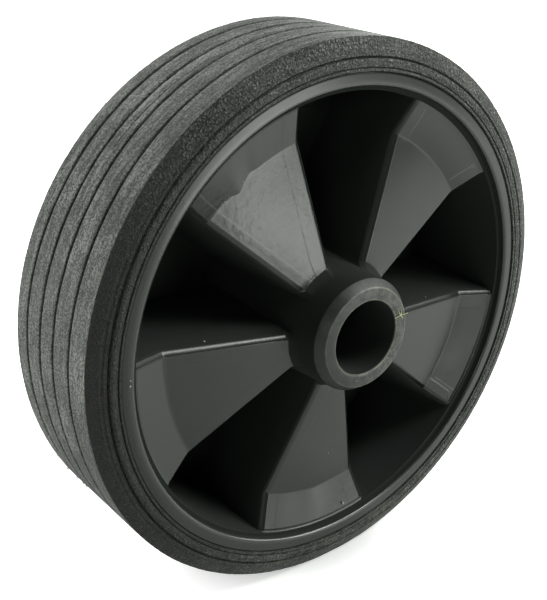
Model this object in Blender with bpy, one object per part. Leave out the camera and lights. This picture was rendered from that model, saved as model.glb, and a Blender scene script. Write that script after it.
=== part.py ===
# Solid rubber trolley wheel: a rubber tyre on a one-piece moulded plastic centre.
# Metres, +Z up. The wheel turns about the Y axis, its front face looks towards -Y,
# and its origin is the middle of the axle bore. It stands upright on its tread.

import math

import bmesh
import bpy

MM = 0.001

# Tyre
WHEEL_RADIUS = 75.0 * MM
TYRE_DEPTH = 7.8 * MM
SHOULDER_DEPTH = 4.7 * MM
SHOULDER_RUN = 2.8 * MM
TREAD_GROOVE_WIDTH = 1.0 * MM
TREAD_GROOVE_DEPTH = 1.0 * MM
TREAD_GROOVE_OFFSETS = (-9.5 * MM, -1.7 * MM, 5.0 * MM, 11.9 * MM)
SIDE_GROOVE_WIDTH = 0.8 * MM
SIDE_GROOVE_DEPTH = 0.5 * MM
SIDE_SLOPE_DROP = 0.2 * MM
BEAD_GROOVE_OFFSET = 1.2 * MM
BEAD_GROOVE_WIDTH = 0.6 * MM
BEAD_GROOVE_DEPTH = 0.35 * MM
TYRE_FIT_GAP = 0.3 * MM
TYRE_STEPS = 96

# Rim of the centre
RIM_WIDTH = 40.0 * MM
RIM_OUTER_CHAMFER = 0.5 * MM
FLANGE_THICKNESS = 3.2 * MM
FLANGE_DRAFT_RUN = 0.5 * MM
FLANGE_HEIGHT = 1.7 * MM
RIM_WALL = 2.8 * MM
RIM_DRAFT = math.radians(0.5)
LIP_WIDTH = 3.6 * MM
LIP_ROUND = 0.8 * MM
LEDGE_DEPTH = 1.9 * MM

# Folded web
PANEL_COUNT = 5
PANEL_TURN = math.radians(47.6)
PANEL_RIM_DEPTH = 2.5 * MM
PANEL_FOLD_DEPTH = 5.9 * MM
PANEL_FOLD_INSET = 10.2 * MM
PANEL_HUB_DEPTH = 1.1 * MM
WEB_WALL = 3.0 * MM
EDGE_ROUND = 1.6 * MM
POCKET_FILLET = 1.2 * MM
FILLET_LIMIT = 0.6
RIM_FILLET = 0.4 * MM
HUB_FILLET = 3.0 * MM
SECTOR_STEPS = 6

# Hub
HUB_LENGTH = 59.0 * MM
BORE_RADIUS = 10.2 * MM
HUB_END_RADIUS = 13.8 * MM
HUB_SHOULDER_RADIUS = 15.6 * MM
HUB_CHAMFER_LENGTH = 2.5 * MM
HUB_ROOT_RADIUS = 16.1 * MM

# Radii worked out inwards from the tread
SIDE_GROOVE_RADIUS = WHEEL_RADIUS - SHOULDER_DEPTH
BEAD_RADIUS = WHEEL_RADIUS - TYRE_DEPTH
BEAD_GROOVE_RADIUS = BEAD_RADIUS + BEAD_GROOVE_OFFSET
RIM_RADIUS = BEAD_RADIUS - TYRE_FIT_GAP
TYRE_SEAT_RADIUS = RIM_RADIUS - FLANGE_HEIGHT
RIM_INNER_RADIUS = TYRE_SEAT_RADIUS - RIM_WALL
PANEL_FOLD_RADIUS = RIM_INNER_RADIUS - PANEL_FOLD_INSET

# Heights above the wheel's middle plane
RIM_FACE = RIM_WIDTH / 2
TREAD_EDGE = RIM_FACE - SHOULDER_RUN
HUB_FACE = HUB_LENGTH / 2
PANEL_RIM_HEIGHT = RIM_FACE - PANEL_RIM_DEPTH
PANEL_FOLD_HEIGHT = RIM_FACE - PANEL_FOLD_DEPTH
PANEL_HUB_HEIGHT = RIM_FACE - PANEL_HUB_DEPTH
HUB_SHOULDER_HEIGHT = HUB_FACE - HUB_CHAMFER_LENGTH

# Angles and shares
HALF_SECTOR = math.pi / PANEL_COUNT / 2
ARC_MIDDLE = 1 - math.sqrt(0.5)


def clear_scene():
    for item in list(bpy.data.objects):
        bpy.data.objects.remove(item, do_unlink=True)


def make_material(name, colour, roughness):
    material = bpy.data.materials.new(name)
    material.use_nodes = True
    shader = material.node_tree.nodes["Principled BSDF"]
    shader.inputs["Base Color"].default_value = (*colour, 1.0)
    shader.inputs["Roughness"].default_value = roughness
    shader.inputs["Metallic"].default_value = 0.0
    return material


def add_object(name, bm, material):
    bmesh.ops.recalc_face_normals(bm, faces=bm.faces[:])
    mesh = bpy.data.meshes.new(name)
    bm.to_mesh(mesh)
    bm.free()
    mesh.materials.append(material)
    mesh.shade_smooth()
    mesh.set_sharp_from_angle(angle=math.radians(25))
    item = bpy.data.objects.new(name, mesh)
    bpy.context.scene.collection.objects.link(item)
    return item


def groove(middle, width, depth):
    """Three points of a V groove: offsets along the surface, and depths below it."""
    return [(middle - width / 2, 0.0), (middle, depth), (middle + width / 2, 0.0)]


def tyre_profile():
    """Radius and height of the tyre's closed section, from the front bead round the tread."""
    seat_radius = TYRE_SEAT_RADIUS + TYRE_FIT_GAP
    flange_root = RIM_FACE - FLANGE_THICKNESS - TYRE_FIT_GAP
    side_slope = SIDE_SLOPE_DROP / (SIDE_GROOVE_RADIUS - BEAD_RADIUS)

    side = [(BEAD_RADIUS, RIM_FACE)]
    side_grooves = (
        groove(BEAD_GROOVE_RADIUS, BEAD_GROOVE_WIDTH, BEAD_GROOVE_DEPTH)
        + groove(SIDE_GROOVE_RADIUS, SIDE_GROOVE_WIDTH, SIDE_GROOVE_DEPTH)
    )
    for radius, depth in side_grooves:
        side.append((radius, RIM_FACE - side_slope * (radius - BEAD_RADIUS) - depth))
    side.append((WHEEL_RADIUS, TREAD_EDGE))

    tread = []
    for offset in sorted(TREAD_GROOVE_OFFSETS):
        for height, depth in groove(-offset, TREAD_GROOVE_WIDTH, TREAD_GROOVE_DEPTH):
            tread.append((WHEEL_RADIUS - depth, height))
    tread.sort(key=lambda point: -point[1])

    inner = [(BEAD_RADIUS, flange_root), (seat_radius, flange_root - FLANGE_DRAFT_RUN)]
    front = inner[::-1] + side
    back = [(radius, -height) for radius, height in reversed(front)]
    return front + tread + back


def make_tyre(material):
    """Turn the tyre's section about the axle, with a flat facet at the bottom to stand on."""
    bm = bmesh.new()
    start = math.pi / TYRE_STEPS
    corners = []
    for radius, height in tyre_profile():
        place = (radius * math.cos(start), -height, radius * math.sin(start))
        corners.append(bm.verts.new(place))
    edges = []
    for index, corner in enumerate(corners):
        edges.append(bm.edges.new((corner, corners[(index + 1) % len(corners)])))
    bmesh.ops.spin(
        bm, geom=corners + edges, cent=(0, 0, 0), axis=(0, -1, 0), dvec=(0, 0, 0),
        angle=2 * math.pi, steps=TYRE_STEPS, use_merge=True, use_duplicate=False,
    )
    return add_object("tyre", bm, material)


def panel_height(radius):
    """Height of a panel's outer face: it falls from the rim to the fold, then rises to the hub."""
    if radius > PANEL_FOLD_RADIUS:
        share = (radius - PANEL_FOLD_RADIUS) / (RIM_INNER_RADIUS - PANEL_FOLD_RADIUS)
        return PANEL_FOLD_HEIGHT + share * (PANEL_RIM_HEIGHT - PANEL_FOLD_HEIGHT)
    share = (PANEL_FOLD_RADIUS - radius) / (PANEL_FOLD_RADIUS - HUB_ROOT_RADIUS)
    return PANEL_FOLD_HEIGHT + share * (PANEL_HUB_HEIGHT - PANEL_FOLD_HEIGHT)


def hub_radius(height):
    """The hub's barrel, which widens from its shoulder down to the pocket floors."""
    draft = (HUB_ROOT_RADIUS - HUB_SHOULDER_RADIUS) / (HUB_SHOULDER_HEIGHT - PANEL_HUB_HEIGHT)
    return HUB_SHOULDER_RADIUS + draft * (HUB_SHOULDER_HEIGHT - height)


def rim_radius(height):
    """The rim's inner wall, which narrows from the ledge down to the pocket floors."""
    return RIM_INNER_RADIUS - math.tan(RIM_DRAFT) * (RIM_FACE - LEDGE_DEPTH - height)


def fold_points(radius):
    """Across one drafted side wall, from panel to pocket floor.

    Each point is a distance from the sector's boundary plane and a height. The wall leans by
    its own thickness over the full width of the web, so that the wall seen from behind, which
    is this one turned over, leaves the same thickness everywhere.
    """
    top = panel_height(radius)
    floor = WEB_WALL - top

    def lean(height):
        return WEB_WALL * (top - height) / (2 * top)

    free = radius * math.sin(HALF_SECTOR) - lean(floor)
    fillet = min(POCKET_FILLET, FILLET_LIMIT * free)
    return [
        (-EDGE_ROUND, top),
        (-ARC_MIDDLE * EDGE_ROUND, top - ARC_MIDDLE * EDGE_ROUND),
        (lean(top - EDGE_ROUND), top - EDGE_ROUND),
        (lean(floor + fillet), floor + fillet),
        (lean(floor) + fillet, floor),
    ]


def spread(first, last, height):
    """Evenly spaced columns between two angles, without the two ends."""
    step = (last - first) / SECTOR_STEPS
    return [(first + step * index, height) for index in range(1, SECTOR_STEPS)]


def pitch_columns(radius):
    """Angles and heights for one panel and one pocket, seen from the front."""
    points = fold_points(radius)
    down = [(HALF_SECTOR + math.asin(run / radius), height) for run, height in points]
    up = [(4 * HALF_SECTOR - angle, height) for angle, height in reversed(down)]
    panel = spread(-down[0][0], down[0][0], points[0][1])
    pocket = spread(down[-1][0], up[0][0], points[-1][1])
    return [(-down[0][0], points[0][1])] + panel + down + pocket + up[:-1]


def whole_turn(columns):
    """Repeat one pitch round the wheel."""
    pitch = 4 * HALF_SECTOR
    turned = []
    for index in range(PANEL_COUNT):
        turned += [(PANEL_TURN + index * pitch + angle, height) for angle, height in columns]
    return turned


def behind(columns):
    """The same pitch turned over and half a pitch further on: panels lie behind the pockets."""
    half = len(columns) // 2
    turned = []
    for angle, height in columns[half:]:
        turned.append((angle - 2 * HALF_SECTOR, -height))
    for angle, height in columns[:half]:
        turned.append((angle + 2 * HALF_SECTOR, -height))
    return turned


def add_ring(bm, points):
    """One closed ring of corners from (radius, angle, height) points."""
    ring = []
    for radius, angle, height in points:
        place = (radius * math.cos(angle), -height, radius * math.sin(angle))
        ring.append(bm.verts.new(place))
    return ring


def loft(bm, rings):
    """Skin a list of rings, and close the last one to the first."""
    for index, ring in enumerate(rings):
        other = rings[(index + 1) % len(rings)]
        for place, corner in enumerate(ring):
            following = (place + 1) % len(ring)
            bm.faces.new((corner, ring[following], other[following], other[place]))


def face_rings():
    """One side of the centre, from the bore to the tyre seat, as lists of ring points.

    Each entry is (reference radius, function of a column's height giving radius and height).
    """
    lip_radius = RIM_RADIUS - LIP_WIDTH
    seat_edge = RIM_FACE - FLANGE_THICKNESS

    def plain(radius, height):
        return lambda column: (radius, height)

    def hub_step(out, lift):
        return lambda column: (hub_radius(column + lift) + out, column + lift)

    def rim_step(out, lift):
        return lambda column: (rim_radius(column + lift) - out, column + lift)

    def web(radius):
        return lambda column: (radius, column)

    half_fillet = ARC_MIDDLE * HUB_FILLET
    half_round = ARC_MIDDLE * LIP_ROUND
    middle_radius = (HUB_ROOT_RADIUS + PANEL_FOLD_RADIUS) / 2
    return [
        (HUB_ROOT_RADIUS, plain(BORE_RADIUS, HUB_FACE)),
        (HUB_ROOT_RADIUS, plain(HUB_END_RADIUS, HUB_FACE)),
        (HUB_ROOT_RADIUS, plain(HUB_SHOULDER_RADIUS, HUB_SHOULDER_HEIGHT)),
        (HUB_ROOT_RADIUS, hub_step(0.0, HUB_FILLET)),
        (HUB_ROOT_RADIUS + half_fillet, hub_step(half_fillet, half_fillet)),
        (HUB_ROOT_RADIUS + HUB_FILLET, hub_step(HUB_FILLET, 0.0)),
        (middle_radius, web(middle_radius)),
        (PANEL_FOLD_RADIUS, web(PANEL_FOLD_RADIUS)),
        (RIM_INNER_RADIUS, rim_step(RIM_FILLET, 0.0)),
        (RIM_INNER_RADIUS, rim_step(0.0, RIM_FILLET)),
        (RIM_INNER_RADIUS, plain(RIM_INNER_RADIUS, RIM_FACE - LEDGE_DEPTH)),
        (RIM_INNER_RADIUS, plain(lip_radius, RIM_FACE - LEDGE_DEPTH)),
        (RIM_INNER_RADIUS, plain(lip_radius, RIM_FACE - LIP_ROUND)),
        (RIM_INNER_RADIUS, plain(lip_radius + half_round, RIM_FACE - half_round)),
        (RIM_INNER_RADIUS, plain(lip_radius + LIP_ROUND, RIM_FACE)),
        (RIM_INNER_RADIUS, plain(RIM_RADIUS - RIM_OUTER_CHAMFER, RIM_FACE)),
        (RIM_INNER_RADIUS, plain(RIM_RADIUS, RIM_FACE - RIM_OUTER_CHAMFER)),
        (RIM_INNER_RADIUS, plain(RIM_RADIUS, seat_edge)),
        (RIM_INNER_RADIUS, plain(TYRE_SEAT_RADIUS, seat_edge - FLANGE_DRAFT_RUN)),
    ]


def make_centre(material):
    """Loft the moulded centre: bore, hub, folded web, rim and tyre seat in one body."""
    bm = bmesh.new()
    front = []
    back = []
    for reference, place in face_rings():
        columns = pitch_columns(reference)
        front_points = []
        for angle, height in whole_turn(columns):
            radius, front_height = place(height)
            front_points.append((radius, angle, front_height))
        back_points = []
        for angle, height in whole_turn(behind(columns)):
            radius, back_height = place(-height)
            back_points.append((radius, angle, -back_height))
        front.append(add_ring(bm, front_points))
        back.append(add_ring(bm, back_points))
    loft(bm, front + back[::-1])
    return add_object("wheel_centre", bm, material)


clear_scene()
rubber = make_material("black rubber", (0.045, 0.046, 0.046), 0.8)
plastic = make_material("satin black plastic", (0.018, 0.019, 0.019), 0.4)
make_tyre(rubber)
make_centre(plastic)
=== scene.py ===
import math

import bmesh
import bpy
from mathutils import Matrix, Vector, noise


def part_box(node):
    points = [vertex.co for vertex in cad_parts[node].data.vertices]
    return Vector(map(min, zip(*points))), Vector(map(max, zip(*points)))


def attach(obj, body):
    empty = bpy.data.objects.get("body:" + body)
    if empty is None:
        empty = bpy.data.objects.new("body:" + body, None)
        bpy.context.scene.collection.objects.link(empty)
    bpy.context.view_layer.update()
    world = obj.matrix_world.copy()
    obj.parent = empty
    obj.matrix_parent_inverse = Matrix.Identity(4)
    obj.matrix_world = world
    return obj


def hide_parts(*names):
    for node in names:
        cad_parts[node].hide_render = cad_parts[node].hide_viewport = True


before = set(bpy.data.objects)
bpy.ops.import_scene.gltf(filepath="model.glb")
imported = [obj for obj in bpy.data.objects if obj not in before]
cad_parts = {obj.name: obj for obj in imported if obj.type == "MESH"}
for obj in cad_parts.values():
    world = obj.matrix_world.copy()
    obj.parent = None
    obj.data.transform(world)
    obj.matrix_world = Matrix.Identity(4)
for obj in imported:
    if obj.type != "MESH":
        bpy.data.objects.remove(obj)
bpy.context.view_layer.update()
mm = 0.001
noise.seed_set(7)  # noise_vector starts from it, and each run gives the same lumps
print("frame loaded:", ", ".join(sorted(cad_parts)))


# Camera, at the photograph's viewing angle
camera = {
    "aim": (-1.43 * mm, 8.31 * mm, -2.27 * mm),
    "azimuth": -37.42,
    "elevation": 24.22,
    "distance": 304.5 * mm,
    "lens": 64.15,
    "sensor": 36.0,
    "nearest": 10 * mm,
}


def directionOf(azimuth, elevation):  # azimuth 0 is the front, -Y; positive goes round to +X
    turn, lift = math.radians(azimuth), math.radians(elevation)
    return Vector((math.sin(turn) * math.cos(lift), -math.cos(turn) * math.cos(lift), math.sin(lift)))


def addCamera():
    data = bpy.data.cameras.new("camera")
    data.lens = camera["lens"]
    data.sensor_width = camera["sensor"]
    data.clip_start = camera["nearest"]
    item = bpy.data.objects.new("camera", data)
    back = directionOf(camera["azimuth"], camera["elevation"])
    item.location = Vector(camera["aim"]) + camera["distance"] * back
    item.rotation_euler = back.to_track_quat("Z", "Y").to_euler()
    bpy.context.scene.collection.objects.link(item)
    bpy.context.scene.camera = item


addCamera()
print("camera placed")


# Shader arithmetic: a Wire is a socket that can stand in a Python expression
class Wire:
    def __init__(self, shader, socket):
        self.shader = shader
        self.socket = socket

    def math(self, operation, *others):
        links = dict(enumerate((self,) + others))
        return self.shader.node("Math", {"operation": operation}, links)

    def __add__(self, other):
        return self.math("ADD", other)

    __radd__ = __add__

    def __sub__(self, other):
        return self.math("SUBTRACT", other)

    def __rsub__(self, other):
        return self.shader.node("Math", {"operation": "SUBTRACT"}, {0: other, 1: self})

    def __mul__(self, other):
        return self.math("MULTIPLY", other)

    __rmul__ = __mul__

    def __neg__(self):
        return self.math("MULTIPLY", -1.0)


class Shader:
    def __init__(self, tree):
        self.tree = tree

    def node(self, kind, settings=None, links=None, out=0):
        made = self.tree.nodes.new("ShaderNode" + kind)
        for name, value in (settings or {}).items():
            setattr(made, name, value)
        for name, value in (links or {}).items():
            self.feed(made.inputs[name], value)
        return Wire(self, made.outputs[out])

    def feed(self, socket, value):
        if isinstance(value, Wire):
            self.tree.links.new(value.socket, socket)
        else:
            socket.default_value = value

    def between(self, value, low, high, first=0.0, last=1.0):  # smooth rise from low to high
        places = {"From Min": low, "From Max": high, "To Min": first, "To Max": last}
        return self.node("MapRange", {"interpolation_type": "SMOOTHSTEP"}, {"Value": value, **places})

    def band(self, value, middle, width):  # 1 on a line, 0 at half a width from it
        return 1.0 - self.between((value - middle).math("ABSOLUTE"), 0.0, width / 2)

    def mix(self, share, first, second):  # colours
        links = {"Factor": share, 6: first, 7: second}
        return self.node("Mix", {"data_type": "RGBA"}, links, out=2)

    def paint(self, under, share, colour):  # a plain colour over what is there
        return self.mix(share, under, (*colour, 1))

    def noise(self, place, scale, detail=3.0, roughness=0.5, out=0):
        links = {"Vector": place, "Scale": scale, "Detail": detail, "Roughness": roughness}
        return self.node("TexNoise", {}, links, out=out)

    def cracks(self, place, scale, stray):  # distance from a net of cell borders, in cells
        wander = self.noise(place, 0.9 * scale, 2.0, out="Color")
        shifts = {0: wander, 1: (stray / scale,) * 3, 2: place}
        drift = self.node("VectorMath", {"operation": "MULTIPLY_ADD"}, shifts)
        return self.node("TexVoronoi", {"feature": "DISTANCE_TO_EDGE"}, {"Vector": drift, "Scale": scale})

    def bump(self, height, distance, strength):
        return self.node("Bump", {}, {"Height": height, "Distance": distance, "Strength": strength})

    def set(self, node, values):
        for name, value in values.items():
            self.feed(self.tree.nodes[node].inputs[name], value)


def newMaterial(name):
    material = bpy.data.materials.new(name)
    material.use_nodes = True
    return material, Shader(material.node_tree)


class Place:  # object coordinates, and the polar ones round the axle
    slant = 1.3  # how much a drawn-out pattern changes with the radius

    def __init__(self, shader):
        self.vector = shader.node("TexCoord", {}, {}, out="Object")
        self.x = shader.node("SeparateXYZ", {}, {0: self.vector}, out="X")
        self.y = shader.node("SeparateXYZ", {}, {0: self.vector}, out="Y")
        self.z = shader.node("SeparateXYZ", {}, {0: self.vector}, out="Z")
        self.radius = (self.x * self.x + self.z * self.z).math("SQRT")
        self.angle = self.z.math("ARCTAN2", self.x)

    def drawnOut(self, shader, along):  # a vector whose noise is drawn out along the circumference
        links = {"X": self.x * along, "Y": self.y + self.radius * self.slant, "Z": self.z * along}
        return shader.node("CombineXYZ", {}, links)


# Mesh helpers that both mouldings use
def roundCorner(before, corner, after, radius, steps):
    # points of an arc that cuts a corner off, tangent to both its sides
    first = (Vector(before) - Vector(corner)).normalized()
    second = (Vector(after) - Vector(corner)).normalized()
    half = first.angle(second) / 2
    longest = 0.45 * (Vector(before) - Vector(corner)).length
    reach = min(radius / math.tan(half), longest)
    middle = Vector(corner) + (first + second).normalized() * reach / math.cos(half)
    start = Vector(corner) + first * reach - middle
    sweep = math.pi - 2 * half
    side = 1 if first.x * second.y - first.y * second.x < 0 else -1
    points = []
    for index in range(steps + 1):
        turn = side * sweep * index / steps
        cosine, sine = math.cos(turn), math.sin(turn)
        spot = middle + Vector((start.x * cosine - start.y * sine, start.x * sine + start.y * cosine))
        points.append(tuple(spot))
    return points


def quarterTurn(steps):  # angles from 0 to a right angle
    return [index / (steps - 1) * math.pi / 2 for index in range(steps)]


def addLump(bm, middle, size, raggedness, fineness):  # a shred or a speck
    made = bmesh.ops.create_icosphere(bm, subdivisions=2, radius=size, matrix=Matrix.Translation(middle))
    for vert in made["verts"]:
        vert.co += raggedness * size * noise.noise_vector(vert.co * fineness)


def newPiece(name, bm, material):
    mesh = bpy.data.meshes.new(name)
    bm.to_mesh(mesh)
    bm.free()
    mesh.materials.append(material)
    mesh.shade_smooth()
    item = bpy.data.objects.new(name, mesh)
    bpy.context.scene.collection.objects.link(item)
    return item


# Tyre
tyre = {
    "radius": 75.3 * mm,
    "floor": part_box("tyre")[0].z,
    "steps": 640,
    "treadWidth": 34.8 * mm,
    "treadCorner": 0.35 * mm,
    "treadGrooves": (-9.5 * mm, -1.7 * mm, 5.0 * mm, 11.9 * mm),  # along the axle, front first
    "grooveWidth": 0.8 * mm,
    "grooveDepth": 1.1 * mm,
    # a tread groove's section: shares of half its width, and of its depth
    "treadCut": (
        (-2.2, 0.0), (-1.3, 0.04), (-1.0, 0.2), (-0.3, 1.0),
        (0.3, 1.0), (1.0, 0.2), (1.3, 0.04), (2.2, 0.0),
    ),
    "plainRun": (2 * mm, (0.25, 0.5, 0.75)),  # a wider stretch of tread is divided at these shares
    "crack": {
        "offset": 1.1 * mm, "width": 0.3 * mm, "depth": 0.5 * mm,
        "from": 44.0, "to": 71.0, "fade": 5.0, "lean": 0.03 * mm,  # degrees round from the left
    },
    # the side; a groove is its radius, width and depth, the outer one first
    "beadRadius": 66.93 * mm,
    "beadRound": ((0.0, 0.16 * mm), (0.05 * mm, 0.04 * mm)),
    "beadRun": 0.18 * mm,
    "seatRadius": 65.5 * mm,
    "seatHeight": (16.5 * mm, 16.0 * mm),
    "sideHeight": 20.0 * mm,
    "sideSlope": 0.2 * mm,
    "sideGrooves": ((70.4 * mm, 0.8 * mm, 0.7 * mm), (67.9 * mm, 0.45 * mm, 0.3 * mm)),
    "sideCut": (0.62, 0.4, 0.12),  # where a side groove's lip, wall and bed are, as shares of its width
    "sideSink": (0.12, 0.9),  # how deep its wall and its bed are, as shares of its depth
    "coneLine": (71.7 * mm, 0.25 * mm),
    "coneCut": (0.4, 0.45),
    "coneRings": (0.35, 0.6),
    # faults: how far each strays, and how fine the noise is that it follows
    "grooveStray": 0.16 * mm,
    "raggedGroove": 5.0 * mm,
    "raggedness": 0.4 * mm,
    "cornerNibble": 0.09 * mm,
    "waviness": 0.05 * mm,
    "cutReach": 1.2,  # as a share of a groove's width
    "strayReach": 0.46,  # as a share of the tread's width
    "cornerReach": 0.2 * mm,
    "faultDepth": 1.5 * mm,
    "beadGuard": 1 * mm,
    "fineness": {
        "tear": 1400, "crack": 260, "stray": (45, 230), "nibble": 420, "wave": (90, 310), "nib": 2200,
    },
    "nibs": (  # degrees round from the left, place along the axle, size
        (-51.0, 17.3 * mm, 0.22 * mm), (-47.5, 17.2 * mm, 0.3 * mm), (-44.0, 17.4 * mm, 0.2 * mm),
        (-41.0, 17.2 * mm, 0.26 * mm), (-37.6, 17.3 * mm, 0.34 * mm), (-36.8, 17.9 * mm, 0.3 * mm),
        (-34.0, 17.2 * mm, 0.2 * mm), (-30.5, 17.3 * mm, 0.24 * mm), (-26.0, 17.2 * mm, 0.18 * mm),
        (52.0, 17.2 * mm, 0.2 * mm), (61.0, 17.3 * mm, 0.16 * mm),
    ),
}


def tyreHalf():  # radius and height from the bead out to the tread's corner
    bead = tyre["beadRadius"]
    top = tyre["sideHeight"]
    outer = (tyre["radius"], tyre["treadWidth"] / 2)
    shoulder = tyre["sideGrooves"][0][0]

    def side(radius):
        return top - tyre["sideSlope"] * (radius - bead) / (shoulder - bead)

    def cone(radius):
        share = (radius - shoulder) / (outer[0] - shoulder)
        return side(shoulder) + share * (outer[1] - side(shoulder))

    points = [(tyre["seatRadius"], tyre["seatHeight"][1]), (bead, tyre["seatHeight"][0])]
    points += [(bead + out, top - down) for out, down in tyre["beadRound"]]
    points.append((bead + tyre["beadRun"], side(bead + tyre["beadRun"])))
    for radius, width, depth in reversed(tyre["sideGrooves"]):
        surface = cone if radius == shoulder else side
        lip, wall, bed = [share * width for share in tyre["sideCut"]]
        wallSink, bedSink = [share * depth for share in tyre["sideSink"]]
        points += [(radius - lip, side(radius - lip)), (radius - wall, side(radius) - wallSink)]
        points += [(radius - bed, side(radius) - bedSink), (radius + bed, side(radius) - bedSink)]
        points.append((radius + wall, surface(radius + wall) - wallSink))
        points.append((radius + lip, surface(radius + lip)))
    line, width = tyre["coneLine"]
    wall, sink = [share * width for share in tyre["coneCut"]]
    points += [(line - width, cone(line - width)), (line - wall, cone(line) - sink)]
    points += [(line + wall, cone(line) - sink), (line + width, cone(line + width))]
    for share in tyre["coneRings"]:
        radius = line + share * (outer[0] - line)
        points.append((radius, cone(radius)))
    return points + roundCorner((line, cone(line)), outer, (outer[0], 0.0), tyre["treadCorner"], 4)


def treadPoints():  # from the front corner to the back one
    radius, edge = tyre["radius"], tyre["treadWidth"] / 2
    cuts = [(offset, tyre["grooveWidth"] / 2, tyre["grooveDepth"]) for offset in tyre["treadGrooves"]]
    crack = tyre["crack"]
    cuts.append((crack["offset"], crack["width"] / 2, crack["depth"]))
    points = []
    for offset, half, depth in sorted(cuts):
        points += [(radius - down * depth, offset + across * half) for across, down in tyre["treadCut"]]
    longest, shares = tyre["plainRun"]
    filled = []
    last = -edge
    for point in points + [(radius, edge)]:
        if point[1] - last > longest:
            filled += [(radius, last + share * (point[1] - last)) for share in shares]
        filled.append(point)
        last = point[1]
    return filled[:-1]


def strayed(spot):  # where a point of the tread really lies, on rubber cut and trimmed by hand
    radius = math.hypot(spot.x, spot.z)
    around = math.degrees(math.atan2(spot.z, -spot.x))
    along = spot.y
    fineness = tyre["fineness"]
    rough = noise.noise(spot * fineness["tear"])
    crack = tyre["crack"]
    if abs(along - crack["offset"]) < tyre["cutReach"] * crack["width"]:
        share = min(max(min(around - crack["from"], crack["to"] - around) / crack["fade"], 0.0), 1.0)
        share *= 0.7 + 0.6 * abs(noise.noise(spot * fineness["crack"]))
        radius = tyre["radius"] - (tyre["radius"] - radius) * share
        middle = (crack["from"] + crack["to"]) / 2
        along += crack["lean"] * (middle - min(max(around, crack["from"]), crack["to"]))
    ragged = abs(along - tyre["raggedGroove"]) < tyre["cutReach"] * tyre["grooveWidth"]
    if ragged and around > 0 and along < tyre["raggedGroove"]:
        along -= tyre["raggedness"] * max(rough, 0.0)
    if abs(along) < tyre["strayReach"] * tyre["treadWidth"]:
        slow, quick = [noise.noise(spot * scale) for scale in fineness["stray"]]
        along += tyre["grooveStray"] * (slow + 0.5 * quick)
    elif abs(along) < tyre["treadWidth"] / 2 + tyre["cornerReach"]:
        radius -= tyre["cornerNibble"] * abs(rough + noise.noise(spot * fineness["nibble"]))
    return radius, along


def makeTyre(material):
    front = tyreHalf()
    section = [(radius, -height) for radius, height in front] + treadPoints()
    section += [(radius, height) for radius, height in reversed(front)]
    bm = bmesh.new()
    corners = [bm.verts.new((radius, along, 0.0)) for radius, along in section]
    edges = [bm.edges.new((corners[i - 1], corners[i])) for i in range(len(corners))]
    bmesh.ops.spin(
        bm, geom=corners + edges, cent=(0, 0, 0), axis=(0, 1, 0), dvec=(0, 0, 0),
        angle=2 * math.pi, steps=tyre["steps"], use_merge=True, use_duplicate=False,
    )
    bmesh.ops.recalc_face_normals(bm, faces=bm.faces[:])
    slow, quick = tyre["fineness"]["wave"]
    for vert in bm.verts:
        reach = math.hypot(vert.co.x, vert.co.z)
        if reach < tyre["beadRadius"] + tyre["beadGuard"]:
            continue
        wave = noise.noise(vert.co * slow) + 0.6 * noise.noise(vert.co * quick)
        radius = reach
        if reach > tyre["radius"] - tyre["faultDepth"]:
            radius, vert.co.y = strayed(vert.co)
        shrink = (radius - tyre["waviness"] * (0.8 + 0.5 * wave)) / reach
        vert.co.x *= shrink
        vert.co.z = max(vert.co.z * shrink, tyre["floor"])  # flat where it stands
    for around, along, size in tyre["nibs"]:  # shreds left on the edge by the trimming
        turn = math.radians(around)
        middle = Vector((-math.cos(turn), 0, math.sin(turn))) * (tyre["radius"] + 0.3 * size)
        middle.y = along
        addLump(bm, middle, size, 0.5, tyre["fineness"]["nib"])
    return newPiece("tyre_rubber", bm, material)


# Wheel centre: the rim and the hub, then the folded web between them
centre = {
    "boreRadius": 10.2 * mm,
    "boreBreak": 0.45 * mm,
    "boreDepth": 8 * mm,  # where the bore's first ring is, below the hub's end
    "hubLength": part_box("wheel_centre")[1].y * 2,
    "hubEndRadius": 13.8 * mm,
    "hubEndRun": 1.4 * mm,
    "hubRounds": (0.35 * mm, 0.6 * mm),  # of the end's edge and of the shoulder
    "shoulderRadius": 15.6 * mm,
    "chamferLength": 2.5 * mm,
    # the veils say how much painted shade, the plastic's matt copy, covers each ring
    "shoulderVeils": (0.0, 0.2, 0.5, 0.8),
    "veiledFrom": 6 * mm,  # below the hub's end
    "rootRadius": 16.1 * mm,
    "hubFillet": 2.2 * mm,
    "hubVeil": 8,  # how fast the veil falls where the hub's root runs out
    "rimWidth": 40.0 * mm,
    "rimRadius": 66.9 * mm,
    "flange": 3.2 * mm,
    "seatRadius": 65.2 * mm,
    "seatRun": 0.5 * mm,
    "wallRadius": 62.1 * mm,
    "wallDraft": math.radians(0.5),
    "lipRadius": 63.3 * mm,
    "lipRound": 1.3 * mm,
    "lipVeils": (0.9, 0.6, 0.35, 0.1, 0.0),
    "lipFall": 0.36 * mm,  # the face slopes back towards the tyre
    "lipRings": (0.3, 0.6, 0.85),
    "lipCorner": 0.35 * mm,
    "ledgeDepth": 1.9 * mm,
    "ledgeFall": 0.25 * mm,
    "ledgeRound": 0.2 * mm,
    "ledgeCorner": ((-0.15 * mm, 0.03 * mm), (0.0, 0.12 * mm)),
    "rimFillet": 0.5 * mm,
}
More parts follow.
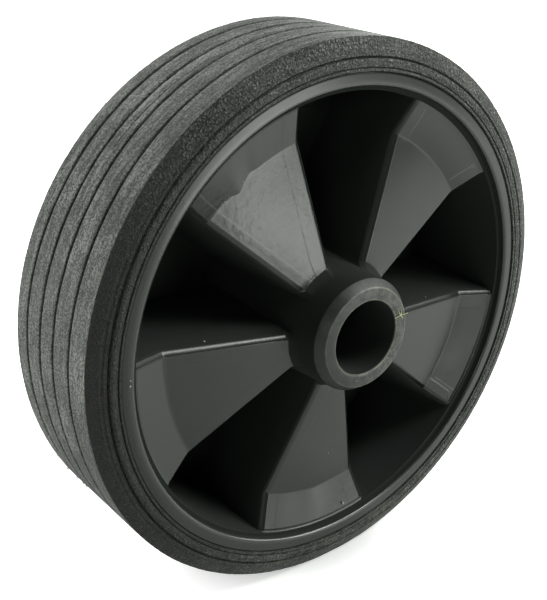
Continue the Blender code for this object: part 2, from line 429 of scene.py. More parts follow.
web = {
    "panels": 5,
    "turn": math.radians(47.6),
    "rimDepth": 2.5 * mm,
    "foldDepth": 5.9 * mm,
    "foldRadius": 52.0 * mm,
    "foldRound": 0.25 * mm,
    "bow": 0.1,
    "hubDepth": 1.1 * mm,
    "wall": 3.0 * mm,
    "edgeRound": 1.5 * mm,
    "edgeFlat": 1.6,  # 1 rounds an edge, 2 chamfers it
    "pocketFillet": 1.2 * mm,
    # how deep below its panel a column sinks before it is fully under painted shade
    "veilDepth": 1.2 * mm,
    "panelSteps": 24,
    "stripSteps": 3,
    "edgeSteps": 8,
    "wallSteps": 4,
    "filletSteps": 4,
    "pocketSteps": 12,
    # where the rings are: shares of the inner plane, steps of the fold's round, shares of the outer plane
    "innerRings": (0.12, 0.25, 0.38, 0.5, 0.62, 0.73, 0.82, 0.9, 0.96, 1.0),
    "foldRings": (-1.2, -0.6, 0.0, 0.6, 1.2, 2.0),
    "outerRings": (0.2, 0.45, 0.7),
    "padEndRings": (59.6, 60.0, 60.4, 60.7, 60.9, 61.05, 61.15, 61.25, 61.4),  # radii in mm
    # pads along both edges of each panel: how far in each reaches, height inside and outside the fold, in mm
    "pads": ((5.0, 5.2), (5.7, 4.3), (5.0, 5.3), (5.0, 5.5), (4.3, 5.6)),
    "padHeights": ((0.0, 0.05), (0.05, 0.05), (0.05, 0.0), (0.03, 0.05), (0.0, 0.05)),
    "padSlope": 0.24 * mm,
    "padGuard": 0.2 * mm,
    "padLeast": 2 * mm,  # a narrower pad is lower
    "padEnds": (61.2 * mm, None, None, None, 61.2 * mm),  # where the pads' round ends are
    "padEndRound": 1.6 * mm,
    # how the fold wanders on each panel: angle from its middle, spread in degrees, shift in mm
    "wander": (
        ((-4.0, 8.0, -0.3),),
        ((5.3, 2.3, -1.5), (9.2, 0.9, -0.35), (-0.4, 1.4, 0.5)),
        ((-14.0, 5.0, 0.3),),
        ((1.5, 5.0, 0.5), (-10.0, 5.0, 0.2)),
        ((11.0, 6.0, -0.35), (-8.5, 6.0, -0.3)),
    ),
    "wanderFrom": 40 * mm,
}
halfSector = math.pi / web["panels"] / 2
rimFace = centre["rimWidth"] / 2
hubFace = centre["hubLength"] / 2


def hubClimb():  # how steeply a panel rises from its fold to the hub
    return (web["foldDepth"] - web["hubDepth"]) / (web["foldRadius"] - centre["rootRadius"])


def panelHeight(radius):
    fold = rimFace - web["foldDepth"]
    rise = (rimFace - web["rimDepth"] - fold) / (centre["wallRadius"] - web["foldRadius"])
    climb = hubClimb()
    away = radius - web["foldRadius"]
    blend = web["foldRound"] / 2  # a hyperbola rounds the valley
    lift = math.sqrt(away * away + blend * blend)
    bow = web["bow"] * rise * max(away, 0.0) * (1 - away / (centre["wallRadius"] - web["foldRadius"]))
    return fold + (rise - climb) / 2 * away + (rise + climb) / 2 * lift - bow


def wander(panel, offset):  # shift of the fold, in metres, at an angle from a panel's middle
    shift = 0.0
    for place, spread, depth in web["wander"][panel]:
        shift += depth * mm * math.exp(-((math.degrees(offset) - place) / spread) ** 2)
    return shift


def foldRun(radius):  # across one side wall: distance from the sector's boundary, and height
    top = panelHeight(radius)
    floor = web["wall"] - top
    edge, steps = web["edgeRound"], web["edgeSteps"]
    slope = web["wall"] / (2 * top)

    def lean(height):
        return web["wall"] * (top - height) / (2 * top)

    free = radius * math.sin(halfSector) - lean(floor)
    fillet = min(web["pocketFillet"], 0.6 * free)
    points = []
    for index in range(steps + 1):
        turn = index / steps * (math.pi / 2 - slope)
        across, up = math.sin(turn) ** web["edgeFlat"], math.cos(turn) ** web["edgeFlat"]
        points.append((-edge + edge * across + lean(top - edge) * index / steps, top - edge + edge * up))
    for index in range(1, web["wallSteps"]):
        height = top - edge + index / web["wallSteps"] * (floor + fillet - top + edge)
        points.append((lean(height), height))
    for turn in quarterTurn(web["filletSteps"] + 1):
        run = lean(floor + fillet) + (lean(floor) - lean(floor + fillet) + fillet) * (1 - math.cos(turn))
        points.append((run, floor + fillet - fillet * math.sin(turn)))
    return points


def padReach(radius, panel, offset):  # a pad's width, shrinking round its outer end
    end, bend = web["padEnds"][panel], web["padEndRound"]
    if end is None or radius < end - bend:
        return offset
    share = min((radius - end + bend) / bend, 1.0)
    return offset * math.sqrt(1 - share * share)


def padHeight(radius, panel):
    inner, outer = web["padHeights"][panel]
    share = min(max((radius - web["foldRadius"]) / mm + 0.5, 0.0), 1.0)
    return (inner + share * (outer - inner)) * mm


def panelHalf(radius, edgeAngle, offset, height):  # from a panel's middle to its edge: angles and heights
    guard, half = web["padGuard"] / radius, web["padSlope"] / 2 / radius
    line = halfSector - math.asin(min(offset / radius, 0.999))
    line = min(max(line, 0.12 * edgeAngle), edgeAngle - 3 * guard)  # on the panel, however narrow it is
    room = min(1.0, 0.6 * line / (guard + half))
    guard, half = guard * room, half * room
    height *= min(1.0, offset / web["padLeast"])
    steps = web["panelSteps"] // 2
    points = [((line - half - guard) * index / steps, 0.0) for index in range(steps + 1)]
    points += [(line - half, 0.0), (line + half, height)]
    start, stop = line + half + guard, edgeAngle - guard / 2
    for index in range(web["stripSteps"]):
        share = index / web["stripSteps"]
        points.append((start + share * (stop - start), height * (1 - share)))
    points.append((stop, 0.0))
    return points


def pitch(radius, panel):  # angle and height of one panel and the pocket after it
    fold = foldRun(radius)
    down = [(halfSector + math.asin(run / radius), height) for run, height in fold]
    up = [(4 * halfSector - angle, height) for angle, height in reversed(down)]
    edge, top = down[0]
    low, high = [padReach(radius, panel, side * mm) for side in web["pads"][panel]]
    pad = padHeight(radius, panel)
    left = [(-angle, top + step) for angle, step in reversed(panelHalf(radius, edge, low, pad))]
    right = [(angle, top + step) for angle, step in panelHalf(radius, edge, high, pad)][1:]
    start, floor = down[-1]
    pocket = []
    for index in range(1, web["pocketSteps"]):
        share = index / web["pocketSteps"]
        pocket.append((start + share * (up[0][0] - start), floor))
    return [(-edge, top)] + left + right + down + pocket + up[:-1]


def turnOf(radius, back):
    # the columns of one ring in order round the wheel: panel, angle from its middle, angle, height
    columns = []
    count = web["panels"]
    for index in range(count):
        for angle, height in pitch(radius, index if not back else (index + 2) % count):
            columns.append((index, angle, height))
    out = []
    if not back:
        for index, angle, height in columns:
            out.append((index, angle, web["turn"] + 4 * index * halfSector + angle, height))
        return out
    half = len(columns) // count // 2
    turned = columns[-half:] + columns[:-half]  # half a pitch further on, and turned over
    for position, (index, angle, height) in enumerate(turned):
        place = index if position >= half else index - count
        out.append((index, angle, web["turn"] + (4 * place + 2) * halfSector + angle, -height))
    return out


def foldShare(radius):  # how much of the fold's wander a ring takes up
    low, high = web["wanderFrom"], centre["wallRadius"]
    fold = web["foldRadius"]
    if radius <= low or radius >= high:
        return 0.0
    if radius > fold:
        return (high - radius) / (high - fold)
    share = (radius - low) / (fold - low)
    return share * share * (3 - 2 * share)


def wallAt(height):  # the rim wall's radius
    return centre["wallRadius"] - math.tan(centre["wallDraft"]) * (rimFace - centre["ledgeDepth"] - height)


def hubAt(height):  # the hub's radius
    shoulder = hubFace - centre["chamferLength"]
    base = rimFace - web["hubDepth"]
    spread = (centre["rootRadius"] - centre["shoulderRadius"]) / (shoulder - base)
    return centre["shoulderRadius"] + spread * (shoulder - height)


# A ring of the centre is the radius its columns are worked out at, what it lies on, and its own radius,
# height and veil. The veil is 0 in the open and 1 down in a pocket; it mixes in the plastic's painted shade.
def turnedRings(path, reference, veils=(0.0,)):  # the last veil holds to the path's end
    rings = []
    for index, (radius, height) in enumerate(path):
        rings.append((reference, "turned", (radius, height, veils[min(index, len(veils) - 1)])))
    return rings


def hubRings():  # out of the bore, over the hub's end, and down to the panels and the pocket floors
    root, fillet = centre["rootRadius"], centre["hubFillet"]
    bore, cut = centre["boreRadius"], centre["boreBreak"]
    end = (centre["hubEndRadius"], hubFace)
    shoulder = (centre["shoulderRadius"], hubFace - centre["chamferLength"])
    below = (hubAt(hubFace - centre["veiledFrom"]), hubFace - centre["veiledFrom"])
    endRound, shoulderRound = centre["hubRounds"]
    rings = turnedRings([(bore, hubFace - centre["boreDepth"]), (bore, hubFace - cut)], root, (1.0,))
    rings += turnedRings([(bore + 0.3 * cut, hubFace - 0.3 * cut), (bore + cut, hubFace)], root)
    rings += turnedRings([(bore + centre["hubEndRun"], hubFace)], root)
    rings += turnedRings(roundCorner((bore, hubFace), end, shoulder, endRound, 3), root)
    path = roundCorner(end, shoulder, below, shoulderRound, 3)
    rings += turnedRings(path, root, centre["shoulderVeils"]) + turnedRings([below], root, (1.0,))
    for turn in quarterTurn(8):
        out, lift = fillet * (1 - math.sin(math.pi / 2 - turn)), fillet * (1 - math.sin(turn))
        rings.append((root + out, "hub", (out, lift, min(1.0, centre["hubVeil"] * lift / fillet))))
    return rings


def webRings():  # over the panels and the pockets, and up the rim's wall
    wall, corner = centre["wallRadius"], centre["rimFillet"]
    fold, soft = web["foldRadius"], web["foldRound"]
    start, stop = centre["rootRadius"] + centre["hubFillet"], fold - 2 * soft
    radii = [start + share * (stop - start) for share in web["innerRings"]]
    radii += [fold + step * soft for step in web["foldRings"]]
    radii += [fold + 2 * soft + share * (wall - corner - fold - 2 * soft) for share in web["outerRings"]]
    radii += [radius * mm for radius in web["padEndRings"]]
    rings = [(radius, "web", (radius, 0.0, 0.0)) for radius in radii]
    for turn in quarterTurn(5):
        inner, lift = corner * (1 - math.sin(turn)), corner * (1 - math.cos(turn))
        rings.append((wall, "rim", (inner, lift, lift / corner)))
    return rings


def rimRings():  # over the ledge and the lip, and down to the tyre's seat
    wall, lip, rim, face = centre["wallRadius"], centre["lipRadius"], centre["rimRadius"], rimFace
    ledge = face - centre["ledgeDepth"]
    low, outer, seat = ledge - centre["ledgeFall"], face - centre["lipFall"], face - centre["flange"]
    start = lip + centre["lipRound"]
    run = rim - centre["lipCorner"] - lip - centre["lipRound"]
    path = roundCorner((wall, 0.0), (wall, ledge), (lip, low), centre["ledgeRound"], 4)
    path += [(lip + out, low + up) for out, up in centre["ledgeCorner"]]
    rings = turnedRings(path, wall, (1.0,))
    path = roundCorner((lip, low), (lip, face), (rim, outer), centre["lipRound"], 7)
    for share in centre["lipRings"]:
        place = start + share * run
        path.append((place, face - centre["lipFall"] * (place - lip) / (rim - lip)))
    path += roundCorner((lip, face), (rim, outer), (rim, 0.0), centre["lipCorner"], 4)
    path += [(rim, seat), (centre["seatRadius"], seat - centre["seatRun"])]
    return rings + turnedRings(path, wall, centre["lipVeils"])


def ringPoint(kind, facts, height, sunk):
    # radius, height and veil of a column, from the web's height there and how deep it is sunk
    radius, lift, shadeVeil = facts
    if kind == "turned":
        return radius, lift, shadeVeil
    height += lift
    if kind == "hub":
        radius = hubAt(height) + radius
    if kind == "rim":
        radius = wallAt(height) - radius
    return radius, height, max(sunk, shadeVeil)


def makeCentre(material):
    rings = hubRings() + webRings() + rimRings()
    bm = bmesh.new()
    column = bm.verts.layers.int.new("column")
    shadeVeil = bm.verts.layers.float.new("shadeVeil")
    count = len(turnOf(centre["wallRadius"], False))
    bmesh.ops.create_circle(bm, segments=count, radius=centre["boreRadius"])
    bm.verts.ensure_lookup_table()
    for index, vert in enumerate(bm.verts):
        vert[column] = index
    verts, edges = bm.verts[:], bm.edges[:]
    firstEdges = edges[:]
    order = [(ring, False) for ring in rings] + [(ring, True) for ring in reversed(rings)]
    for position, ((reference, kind, facts), back) in enumerate(order):
        if position:
            grown = bmesh.ops.extrude_edge_only(bm, edges=edges)["geom"]
            verts = [item for item in grown if isinstance(item, bmesh.types.BMVert)]
            fresh = set(verts)
            edges = [item for item in grown if isinstance(item, bmesh.types.BMEdge)]
            edges = [edge for edge in edges if edge.verts[0] in fresh and edge.verts[1] in fresh]
        columns = turnOf(reference, back)
        for vert in verts:
            panel, offset, angle, height = columns[vert[column]]
            height = -height if back else height
            sunk = (panelHeight(reference) - height) / web["veilDepth"]
            radius, lift, vert[shadeVeil] = ringPoint(kind, facts, height, min(max(sunk, 0.0), 1.0))
            if not back:
                shift = wander(panel, offset) * foldShare(reference)
                radius += shift
                lift -= hubClimb() * shift  # a fold that strays slides along the inner plane
            vert.co = (radius * math.cos(angle), lift if back else -lift, radius * math.sin(angle))
    bmesh.ops.bridge_loops(bm, edges=firstEdges + edges)
    bmesh.ops.recalc_face_normals(bm, faces=bm.faces[:])
    return newPiece("wheel_centre_moulding", bm, material)


# Rubber: speckled, with paler lines and painted shade and light on the side, and a worn, scraped tread with
# painted shade in its grooves
rubber = {
    "deep": (0.010, 0.0115, 0.0105),
    "dark": (0.014, 0.0165, 0.014),
    "pale": (0.178, 0.183, 0.175),
    # the side's painted shade at the left and painted light towards the right
    "sideShaded": (0.034, 0.037, 0.034),
    "sideLit": (0.320, 0.330, 0.305),
    "ridge": (0.075, 0.078, 0.073),
    "worn": (0.30, 0.31, 0.295),
    "scuff": (0.115, 0.100, 0.070),
    "roughness": (0.5, 0.7),
    "bump": 0.25 * mm,
    # scale, detail and roughness of each noise; a streak's first number draws it out where it is under 1
    "noises": {
        "grain": (1900, 2, 0.6), "fine": (4200, 1, 0.5), "mottle": (420, 3, 0.6), "cloud": (60, 3, 0.5),
    },
    "streak": (0.25, 800, 3, 0.6),
    "drawn": (0.16, 560, 3, 0.6),
    "cracks": (950, 1.6),
    # where each noise or mask starts to show, and where it is full
    "ranges": {
        "net": (0.02, 0.28), "rind": (0.3, 0.6), "grain": (0.45, 0.56), "fine": (0.44, 0.56),
        "slow": (0.35, 0.65), "tone": (0.2, 0.85), "lines": (0.3, 0.45, 0.45, 1.0), "worn": (0.5, 0.62),
        "wornGrain": (0.42, 0.58), "rubbedAndHighlight": (0.54, 0.6), "unrubbed": (0.38, 0.46), "torn": (0.35, 0.6),
        "scuffed": (0.5, 0.6), "footPale": (0.4, 0.6), "rough": (0.3, 0.7),
        "sideLight": (-78 * mm, -6 * mm), "ridges": (-60 * mm, -20 * mm), "crown": (-10 * mm, 55 * mm),
        "foot": (50 * mm, 74 * mm), "grooveShade": (-0.5 * mm, -0.22 * mm), "stand": (0.02 * mm, 0.1 * mm),
    },
    # how much of each layer of colour shows
    "shares": {
        "lines": 0.85, "worn": 0.75, "rubbedAndHighlight": 0.8, "unrubbed": 0.55,
        "beside": 0.6, "foot": 0.35, "scuff": 0.6,
    },
    "treadEdge": {"inset": 0.05 * mm, "soft": 0.1 * mm, "stray": 1.2 * mm},
    # radius and width of painted shade lines, in the side groove and at the bead's seam
    "sideLines": ((67.9 * mm, 0.6 * mm), (66.95 * mm, 0.3 * mm)),
    "paleLines": (
        (72.2 * mm, 0.4 * mm), (71.2 * mm, 0.5 * mm), (68.8 * mm, 1.8 * mm), (67.3 * mm, 0.5 * mm),
    ),
    "lineStray": {"side": 0.5 * mm, "pale": 0.3 * mm, "torn": 3 * mm, "beside": 0.6 * mm},
    "shoulderLine": 0.9 * mm,
    "besideWidth": 2.0 * mm,
    # torn places on the tread: angle, spread, place along the axle and width in mm, colour, share
    "torn": ((114.0, 24.0, -0.4, 2.2, "dark", 0.9), (119.0, 44.0, 3.6, 2.8, "worn", 0.75)),
    "scraped": (108.0, 70.0, 3.0, 22.0),
}


def rubberFinish():
    material, shader = newMaterial("black rubber")
    place = Place(shader)
    shares, strays = rubber["shares"], rubber["lineStray"]

    def ranged(name, value):
        return shader.between(value, *rubber["ranges"][name])

    def streaked(name):
        along, *facts = rubber[name]
        return shader.noise(place.drawnOut(shader, along), *facts)

    def patch(facts, y):  # a soft patch of the tread
        angle, spread, along, width = facts
        around = shader.band(place.angle, math.radians(angle), math.radians(spread))
        return around * shader.band(y, along * mm, width * mm)

    noises = {name: shader.noise(place.vector, *facts) for name, facts in rubber["noises"].items()}
    grain, fine, mottle, cloud = [noises[name] for name in ("grain", "fine", "mottle", "cloud")]
    streak, drawn = streaked("streak"), streaked("drawn")
    net = ranged("net", shader.cracks(place.vector, *rubber["cracks"]))
    rind = net * ranged("rind", mottle)
    trim = rubber["treadEdge"]
    edge = tyre["treadWidth"] / 2 - trim["inset"]
    across = place.y.math("ABSOLUTE") + (grain - 0.5) * trim["stray"]
    tread = 1 - shader.between(across, edge - trim["soft"], edge + trim["soft"])
    speckle = 0.7 * ranged("grain", grain) + 0.3 * ranged("fine", fine)
    drift = 0.5 * ranged("slow", mottle) + 0.5 * ranged("slow", streak)
    tone = ranged("tone", 0.58 * speckle + 0.3 * drift + 0.12 * ranged("slow", cloud))

    # the side, with painted shade and light: darker towards the left and paler towards the right; with
    # painted shade in its grooves and at the bead's seam, and pale lines beside the grooves that fade out
    # towards the bottom
    side = shader.mix(ranged("sideLight", place.x), (*rubber["sideShaded"], 1), (*rubber["sideLit"], 1))
    side = shader.mix(tone * (0.35 + 0.65 * rind), (*rubber["deep"], 1), side)
    top = shader.mix(tone, (*rubber["dark"], 1), (*rubber["pale"], 1))
    colour = shader.mix(tread, side, top)
    shifted = place.radius + (streak - 0.5) * strays["pale"]
    pale = sum(shader.band(shifted, radius, width) for radius, width in rubber["paleLines"])
    pale = pale * (1 - tread) * (0.25 + 0.5 * speckle)
    colour = shader.paint(colour, pale * ranged("ridges", place.z), rubber["ridge"])
    # painted shade in the side grooves and at the seam between the tyre and the rim
    shifted = place.radius + (streak - 0.5) * strays["side"]
    lines = shader.band(place.radius, tyre["sideGrooves"][0][0], rubber["shoulderLine"])
    lines = lines + sum(shader.band(shifted, radius, width) for radius, width in rubber["sideLines"])
    lines = lines.math("MINIMUM", 1.0) * (1 - tread) * ranged("lines", cloud)
    colour = shader.paint(colour, lines * shares["lines"], rubber["deep"])

    # the tread, worn in patches and streaked pale by rubbing on its crown, and dark beside its grooves, with
    # painted shade down in them
    scraped = patch(rubber["scraped"], place.y)
    worn = ranged("worn", 0.5 * cloud + 0.5 * streak + 0.09 * scraped) * ranged("wornGrain", grain)
    colour = shader.paint(colour, worn * tread * shares["worn"], rubber["worn"])
    crown = tread * ranged("crown", place.z)
    rubbedAndHighlight = crown * ranged("rubbedAndHighlight", drawn) * (0.15 + 0.85 * speckle)
    colour = shader.paint(colour, rubbedAndHighlight * shares["rubbedAndHighlight"], rubber["worn"])
    unrubbed = crown * (1 - ranged("unrubbed", drawn))
    colour = shader.paint(colour, unrubbed * shares["unrubbed"], rubber["dark"])
    for *facts, finish, share in rubber["torn"]:
        spot = patch(facts, place.y + (streak - 0.5) * strays["torn"])
        torn = ranged("torn", spot * (0.4 + 1.2 * speckle))
        colour = shader.paint(colour, torn * tread * share, rubber[finish])
    shifted = place.y + (streak - 0.5) * strays["beside"]
    beside = sum(shader.band(shifted, offset, rubber["besideWidth"]) for offset in tyre["treadGrooves"])
    colour = shader.paint(colour, beside * tread * shares["beside"], rubber["dark"])
    # painted shade down in the tread's grooves, kept off where the tread stands on the floor
    grooveShade = 1 - ranged("grooveShade", place.radius - tyre["radius"])
    grooveShade = grooveShade * ranged("stand", place.z - tyre["floor"])
    colour = shader.paint(colour, grooveShade * tread, rubber["deep"])

    # the side's foot, pale and scuffed
    foot = ranged("foot", -place.z) * (1 - tread)
    colour = shader.paint(colour, foot * ranged("footPale", mottle) * shares["foot"], rubber["pale"])
    scuffed = foot * ranged("scuffed", 0.6 * streak + 0.4 * mottle)
    colour = shader.paint(colour, scuffed * shares["scuff"], rubber["scuff"])

    height = grain + fine * 0.35 + streak * 0.5 + mottle * 0.4 + (rind * 0.9 - lines) * (1 - tread)
    shader.set("Principled BSDF", {
        "Base Color": colour,
        "Roughness": shader.between(mottle, *rubber["ranges"]["rough"], *rubber["roughness"]),
        "Normal": shader.bump(height, rubber["bump"], 1.0),
    })
    return material


# Plastic: satin, with a matt, low-gloss copy mixed in as painted shade down in the pockets and in some open
# places, and painted highlights along some edges
plastic = {
    "colour": (0.0080, 0.0135, 0.0108),
    # colour of the matt copy of the plastic that is mixed in as painted shade
    "deep": (0.034, 0.039, 0.036),
    "haze": (0.085, 0.090, 0.078),
    # the colour of the painted highlights along the panels' edges and on the lip's rounding
    "rubbedAndHighlight": (0.17, 0.175, 0.165),
    "edgeHighlight": (0.22, 0.225, 0.17),
    # straight lines, painted highlights and painted shade, along a panel's edge: its angle, distance from
    # it, width, first and last radius, share
    "highlightLines": (
        (29.6, -5.2, 0.5, 52.6, 60.6, 0.8),
        (65.6, 5.0, 0.5, 52.6, 61.0, 0.35),
        (-42.4, -5.4, 0.5, 53.0, 60.6, 0.9),
    ),
    # painted shade along some panel edges, by the matt copy of the plastic
    "shadeLines": (
        (-6.4, 0.75, 3.0, 17.0, 51.6, 0.8),
        (173.6, -0.75, 3.0, 52.4, 62.0, 0.85),
    ),
    "lineEnd": 0.4,  # how soft a line's ends are, in mm
    # rings, painted highlights and painted shade: the angle they lie at, radii where they start, are full,
    # stop and end, reach that way, share
    "highlightRings": (
        (200, (62.9, 63.5, 63.8, 65.2), (-10, 30), 0.2),
        (240, (63.25, 63.4, 63.5, 63.75), (15, 50), 0.7),
        (80, (63.5, 64.3, 66.0, 66.8), (25, 60), 0.3),
    ),
    # painted shade rings, by the matt copy of the plastic
    "shadeRings": (
        (165, (64.2, 66.2, 67.5, 68.0), (35, 60), 0.4),
        (10, (52.0, 52.4, 52.5, 60.5), (15, 40), 0.3),
        (-30, (52.0, 52.4, 60.0, 64.0), (38, 52), 0.2),
        (300, (52.0, 52.4, 61.5, 62.5), (40, 54), 0.35),
        (200, (9.5, 10.2, 16.0, 17.0), (-6, 14), 0.35),
        (180, (17.0, 18.0, 51.0, 51.8), (20, 48), 0.22),
    ),
    "noises": {"cloud": (45, 3, 0.5), "ripple": (520, 2, 0.5), "speck": (2300, 2, 0.6)},
    "front": (-12 * mm, -10 * mm),
    "paintedShade": (0.35, 0.85),
    # heights below the hub's end: its chamfer, and the end itself
    "hub": (-3.0 * mm, -2.6 * mm),
    "hubEnd": (-0.3 * mm, -0.1 * mm),
    "hazed": (0.47, 0.55),
    "hazeSide": (-14 * mm, 6 * mm, 0.25, 1.0),
    # bands of painted highlight along the bore's edge and the end's outer edge: radius and width
    "hubHighlights": (
        (centre["boreRadius"] + 0.4 * mm, 0.7 * mm), (centre["hubEndRadius"] - 0.05 * mm, 0.6 * mm),
    ),
    "highlightBreak": (0.3, 0.6, 0.35, 1.0),
    "dimples": {"middle": (-22 * mm, 34 * mm), "reach": (8 * mm, 24 * mm), "depth": 3},
    "gloss": 1.0,
    "roughness": (0.3, 0.7, 0.21, 0.27),
    "hubRoughness": (0.3, 0.12),  # more on the chamfer, and on the end
    "bump": (0.03 * mm, 0.7),
    "shadeGloss": 0.15,
}


def toward(place, angle):  # distance from the axle in one direction
    turn = math.radians(angle)
    return place.x * math.cos(turn) + place.z * math.sin(turn)


def lineShare(shader, place, facts):
    angle, offset, width, inner, outer, share = facts
    reach, soft = toward(place, angle), plastic["lineEnd"]
    line = shader.band(toward(place, angle - 90), offset * mm, width * mm)
    line = line * shader.between(reach, (inner - soft) * mm, inner * mm)
    return line * (1 - shader.between(reach, outer * mm, (outer + soft) * mm)) * share


def ringShare(shader, place, facts):
    angle, (start, full, stop, end), (low, high), share = facts
    ring = shader.between(place.radius, start * mm, full * mm)
    ring = ring * (1 - shader.between(place.radius, stop * mm, end * mm))
    return ring * shader.between(toward(place, angle), low * mm, high * mm) * share


def plasticFinish():
    material, shader = newMaterial("satin black plastic")
    place = Place(shader)
    noises = {name: shader.noise(place.vector, *facts) for name, facts in plastic["noises"].items()}
    cloud, ripple, speck = [noises[name] for name in ("cloud", "ripple", "speck")]
    height = place.y.math("ABSOLUTE") - hubFace
    front = 1 - shader.between(place.y, *plastic["front"])
    # painted shade: the matt copy is mixed in down in the pockets, and along the shade lines and rings
    shadeVeil = shader.node("Attribute", {"attribute_name": "shadeVeil"}, {}, out="Fac")
    paintedShade = shader.between(shadeVeil, *plastic["paintedShade"])
    for facts in plastic["shadeLines"]:
        paintedShade = paintedShade.math("MAXIMUM", lineShare(shader, place, facts) * front)
    for facts in plastic["shadeRings"]:
        paintedShade = paintedShade.math("MAXIMUM", ringShare(shader, place, facts) * front)

    hub = shader.between(height, *plastic["hub"]) * (1 - paintedShade)
    end = shader.between(height, *plastic["hubEnd"]) * hub
    mottled = shader.between(0.5 * speck + 0.5 * ripple, *plastic["hazed"])
    haze = mottled * (end * shader.between(place.x, *plastic["hazeSide"]) + 0.25 * (hub - end))
    colour = shader.mix(haze, (*plastic["colour"], 1), (*plastic["haze"], 1))
    # painted highlights along the bore's edge and the end's edge, broken by noise
    edgeGlint = sum(shader.band(place.radius, radius, width) for radius, width in plastic["hubHighlights"]) * hub
    edgeGlint = edgeGlint * shader.between(ripple, *plastic["highlightBreak"])
    colour = shader.paint(colour, edgeGlint, plastic["edgeHighlight"])
    # painted highlights along some panel edges and on the lip's inner rounding
    for facts in plastic["highlightLines"]:
        colour = shader.paint(colour, lineShare(shader, place, facts) * front, plastic["rubbedAndHighlight"])
    for facts in plastic["highlightRings"]:
        colour = shader.paint(colour, ringShare(shader, place, facts) * front, plastic["rubbedAndHighlight"])

    x, z = plastic["dimples"]["middle"]
    away = ((place.x - x) * (place.x - x) + (place.z - z) * (place.z - z)).math("SQRT")
    near = 1 - shader.between(away, *plastic["dimples"]["reach"])
    dimples = 1 + plastic["dimples"]["depth"] * near * front
    chamferRough, endRough = plastic["hubRoughness"]
    satin = shader.between(cloud, *plastic["roughness"])
    shader.set("Principled BSDF", {
        "Base Color": colour,
        "Roughness": satin + chamferRough * (hub - end) + endRough * end,
        "Specular IOR Level": plastic["gloss"],
        "Normal": shader.bump(ripple * dimples + 0.12 * speck, *plastic["bump"]),
    })
    # the satin plastic and its matt copy, mixed by the painted shade
    satinPart = Wire(shader, shader.tree.nodes["Principled BSDF"].outputs["BSDF"])
    shadedPart = shader.node("BsdfPrincipled", {}, {
        "Base Color": (*plastic["deep"], 1), "Roughness": 1.0, "Specular IOR Level": plastic["shadeGloss"],
    })
    both = shader.node("MixShader", {}, {0: paintedShade, 1: satinPart, 2: shadedPart})
    shader.set("Material Output", {"Surface": both})
    return material


tyreRubber = makeTyre(rubberFinish())
print("tyre made:", len(tyreRubber.data.polygons), "faces")
wheelCentre = makeCentre(plasticFinish())
print("wheel centre made:", len(wheelCentre.data.polygons), "faces")


# Dust on the plastic, and one pale speck on the lower panel that stands in for a glint: a painted highlight
dustAndGlint = {
    "colour": (0.72, 0.73, 0.66),
    "roughness": 0.4,
    "raggedness": 0.4,
    "fineness": 2500,
    "specks": (  # place and size in mm
        ((-39.8, -13.7, 4.85), 0.26), ((-36.7, 12.7, 5.7), 0.16), ((-37.9, 12.7, 6.3), 0.12),
        ((-40.5, 12.6, 7.6), 0.11), ((-64.5, -20.0, 4.6), 0.16), ((-64.7, -20.0, 3.3), 0.2),
        # the 0.3 mm speck on the lower panel is a painted highlight, standing in for a glint
        ((4.6, -17.25, -59.9), 0.3), ((-9.9, -18.5, 16.0), 0.18), ((-33.4, -14.65, 40.1), 0.16),
        ((-28.0, -14.5, 43.9), 0.13), ((-32.2, -14.6, 41.0), 0.1), ((-0.1, -15.6, -41.8), 0.12),
        ((-26.0, -16.2, 36.0), 0.09), ((22.0, -16.5, 20.5), 0.1), ((34.0, -17.0, -2.0), 0.09),
        ((-3.0, -18.0, -22.0), 0.1), ((8.0, -29.55, -8.2), 0.12), ((-3.1, -29.55, -11.6), 0.1),
        ((28.5, 11.0, 26.0), 0.13), ((24.0, 12.0, 33.0), 0.1),
    ),
}


def plainFinish(name, facts):
    material, shader = newMaterial(name)
    shader.set("Principled BSDF", {"Base Color": (*facts["colour"], 1), "Roughness": facts["roughness"]})
    return material


def makeDustAndGlint():
    bm = bmesh.new()
    for place, size in dustAndGlint["specks"]:
        addLump(bm, Vector(place) * mm, size * mm, dustAndGlint["raggedness"], dustAndGlint["fineness"])
    return newPiece("dust_and_glint_specks", bm, plainFinish("pale dust", dustAndGlint))


# A straw fibre on the hub's end
fibre = {
    "colour": (0.74, 0.74, 0.42),
    "roughness": 0.7,
    "thickness": 0.1 * mm,
    "height": -29.68 * mm,
    "lift": 0.05 * mm,  # how much each point stands off more than the one before
    "taper": (1.4, 1.0, 0.5),  # thickness of a strand's first point, of the next ones, and what they lose
    "strands": (  # points in mm
        ((9.8, 2.9), (10.8, 3.2), (11.8, 3.4), (13.0, 3.3), (14.3, 3.4)),
        ((11.8, 3.4), (11.9, 4.2), (11.9, 4.9)),
        ((11.8, 3.4), (11.0, 4.3), (10.8, 5.1)),
        ((11.6, 3.3), (12.4, 2.5), (12.5, 2.0)),
    ),
}


def makeFibre():
    curve = bpy.data.curves.new("hub_fibre", "CURVE")
    curve.dimensions = "3D"
    curve.bevel_depth = fibre["thickness"]
    curve.bevel_resolution = 2
    curve.use_fill_caps = True
    root, full, lost = fibre["taper"]
    for strand in fibre["strands"]:
        spline = curve.splines.new("BEZIER")
        spline.bezier_points.add(len(strand) - 1)
        for index, (point, (x, z)) in enumerate(zip(spline.bezier_points, strand)):
            point.co = (x * mm, fibre["height"] - fibre["lift"] * index, z * mm)
            point.handle_left_type = point.handle_right_type = "AUTO"
            point.radius = root if index == 0 else full - lost * index / len(strand)
    curve.materials.append(plainFinish("straw", fibre))
    item = bpy.data.objects.new("hub_fibre", curve)
    bpy.context.scene.collection.objects.link(item)
    return item


for piece in (makeDustAndGlint(), makeFibre()):
    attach(piece, "root")
print("dust and fibre made")

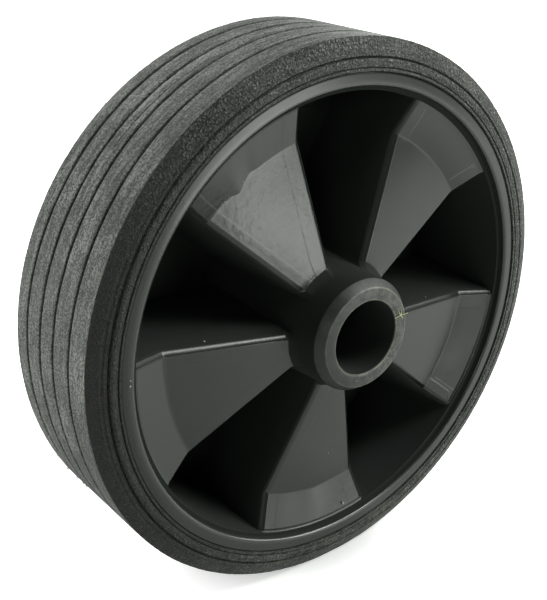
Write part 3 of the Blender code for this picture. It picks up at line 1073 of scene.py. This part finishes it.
pairs = ((tyreRubber, "tyre", "tyre_rubber"), (wheelCentre, "wheel_centre", "centre_plastic"))
for piece, node, slot in pairs:
    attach(piece, "root")
    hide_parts(node)


# Studio: a white floor with a painted contact shadow, and soft lights
studio = {
    "floorSize": 3.0,
    "floorColour": 0.8,
    "floorGlow": (0.34, 0.93),  # for the camera only, lower beside the tyre as a painted contact shadow, and higher further away
    "paintedShadowReach": (15 * mm, 34 * mm),
    "glowAcross": 0.5,  # less than 1 stretches the glow along X
    "farGlow": 0.1,  # added beyond the lamps
    "farReach": (100 * mm, 350 * mm),
    "floorGloss": 0.05,
    "worldGloss": 0.12,
    "lampTint": (0.965, 1.0, 0.945),
    "lampDistance": 0.9,
}
lamps = {
    "left": {"azimuth": -115, "elevation": 2, "size": 0.4, "watts": 5.0},
    "back left": {"azimuth": -140, "elevation": 2, "size": 0.4, "watts": 1.8},
    "behind left": {"azimuth": -165, "elevation": 27, "size": 0.4, "watts": 0.9},
    "behind": {"azimuth": 170, "elevation": 27, "size": 0.4, "watts": 2.3},
    "back right": {"azimuth": 120, "elevation": 18, "size": 0.3, "watts": 5.4},
    "right": {"azimuth": 80, "elevation": 18, "size": 0.3, "watts": 1.2},
    "high right": {"azimuth": 60, "elevation": 36, "size": 0.35, "watts": 2.8},
    "high front": {"azimuth": 38, "elevation": 53, "size": 0.3, "watts": 2.0},
    "front left": {"azimuth": -50, "elevation": 16, "size": 0.25, "watts": 0.4},
    "near front": {"azimuth": 26, "elevation": -1, "size": 0.14, "watts": 0.18, "distance": 0.4},
}


def addFloor():
    bm = bmesh.new()
    bmesh.ops.create_grid(bm, x_segments=1, y_segments=1, size=studio["floorSize"] / 2)
    bmesh.ops.translate(bm, verts=bm.verts[:], vec=(0, 0, tyre["floor"]))
    material, shader = newMaterial("white floor")
    place = Place(shader)
    away = (studio["glowAcross"] * place.x * place.x + place.y * place.y).math("SQRT")
    # the camera-only glow is lower beside the tyre: a painted contact shadow over the floor's own shadow
    glowWithShadow = shader.between(away, *studio["paintedShadowReach"], *studio["floorGlow"])
    glowWithShadow = glowWithShadow + shader.between(away, *studio["farReach"], 0.0, studio["farGlow"])
    seen = shader.node("LightPath", {}, {}, out="Is Camera Ray")
    mirrored = shader.node("LightPath", {}, {}, out="Is Glossy Ray")
    strength = seen * glowWithShadow + mirrored * studio["floorGloss"]
    diffuse = shader.node("BsdfDiffuse", {}, {"Color": (studio["floorColour"],) * 3 + (1,)})
    shine = shader.node("Emission", {}, {"Color": (1, 1, 1, 1), "Strength": strength})
    both = shader.node("AddShader", {}, {0: diffuse, 1: shine})
    shader.set("Material Output", {"Surface": both})
    newPiece("floor", bm, material)


def addWorld():
    world = bpy.data.worlds.new("studio")
    world.use_nodes = True
    bpy.context.scene.world = world
    shader = Shader(world.node_tree)
    seen = shader.node("LightPath", {}, {}, out="Is Camera Ray")
    mirrored = shader.node("LightPath", {}, {}, out="Is Glossy Ray")
    shader.set("Background", {"Color": (1, 1, 1, 1), "Strength": seen + mirrored * studio["worldGloss"]})


def addLamp(name, facts):
    data = bpy.data.lights.new(name, "AREA")
    data.shape = "SQUARE"
    data.size = facts["size"]
    data.energy = facts["watts"]
    data.color = studio["lampTint"]
    item = bpy.data.objects.new(name, data)
    outward = directionOf(facts["azimuth"], facts["elevation"])
    item.location = outward * facts.get("distance", studio["lampDistance"])
    item.rotation_euler = outward.to_track_quat("Z", "Y").to_euler()
    item.visible_camera = False
    bpy.context.scene.collection.objects.link(item)


addFloor()
addWorld()
for lampName, lampFacts in lamps.items():
    addLamp(lampName, lampFacts)
bpy.context.scene.view_settings.view_transform = "Standard"
print("studio lit")
